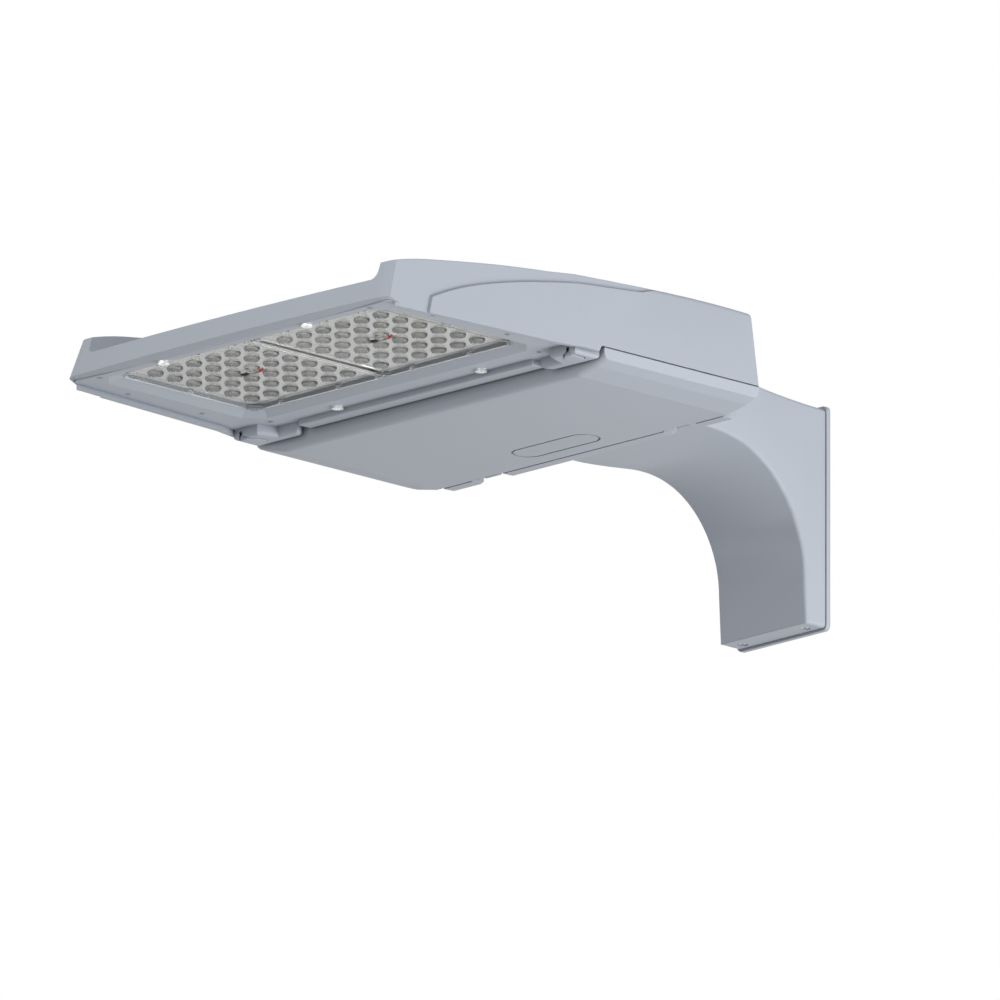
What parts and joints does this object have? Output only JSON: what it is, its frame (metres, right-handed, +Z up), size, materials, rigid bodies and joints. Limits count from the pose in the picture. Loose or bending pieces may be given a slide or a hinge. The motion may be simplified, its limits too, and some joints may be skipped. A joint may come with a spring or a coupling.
{
  "type": "led area light head with pole arm",
  "caption": "Flat LED area light head with a lens window, a hinged driver door and a curved arm that bolts to a pole.",
  "frame": {"origin": "centre of the pole plate's back face, between the two pole bolt holes", "axes": "+Y into the pole, the head reaches along -Y, +Z up, light leaves along -Z"},
  "size_m": [0.372, 0.5979, 0.1824],
  "materials": {
    "painted_casting": "satin powder coat, silver grey",
    "clear_lens": "clear moulded acrylic",
    "white_board": "solder mask on an aluminium core",
    "chip_phosphor": "phosphor",
    "seal_rubber": "black silicone",
    "dark_screw": "dark plated",
    "bright_screw": "polished stainless",
    "zinc_steel": "zinc plated",
    "connector_plastic": "moulded",
    "red_wire": "wire insulation",
    "black_wire": "wire insulation",
    "driver_case": "painted steel can",
    "surge_case": "potted case",
    "terminal_plastic": "moulded"
  },
  "bodies": {
    "head": {"upper_housing": "painted_casting", "led_frame": "painted_casting", "mounting_arm": "painted_casting", "pole_plate": "painted_casting", "lens_plate_left": "clear_lens", "lens_plate_right": "clear_lens", "led_board_left": "white_board", "led_board_right": "white_board", "led_chips_left": "chip_phosphor", "led_chips_right": "chip_phosphor", "door_gasket": "seal_rubber", "lens_gasket": "seal_rubber", "arm_gasket": "seal_rubber", "wire_bush": "seal_rubber", "frame_screws": "dark_screw", "frame_button_screws": "bright_screw", "hinge_pin_left": "zinc_steel", "hinge_pin_right": "zinc_steel", "arm_bolts": "zinc_steel", "arm_nuts": "zinc_steel", "driver_screws": "zinc_steel", "arm_set_screws": "zinc_steel", "lead_connectors": "connector_plastic", "red_leads": "red_wire", "black_leads": "black_wire", "led_driver": "driver_case", "surge_protector": "surge_case", "terminal_block": "terminal_plastic"},
    "door": {"driver_door": "painted_casting"},
    "latch_left": {"latch_left": "painted_casting"},
    "latch_right": {"latch_right": "painted_casting"}
  },
  "joints": [
    {"name": "door_hinge", "type": "hinge", "parent": "head", "child": "door", "pos_m": [0, -0.209, 0.0255], "axis": [1, 0, 0], "range_deg": [0, 85]},
    {"name": "latch_left_pivot", "type": "hinge", "parent": "head", "child": "latch_left", "pos_m": [-0.168, -0.398, 0.03], "axis": [0, 0, 1], "range_deg": [0, 11], "stiffness_Nm_per_rad": 0.01},
    {"name": "latch_right_pivot", "type": "hinge", "parent": "head", "child": "latch_right", "pos_m": [0.168, -0.398, 0.03], "axis": [0, 0, -1], "range_deg": [0, 11], "stiffness_Nm_per_rad": 0.01}
  ]
}
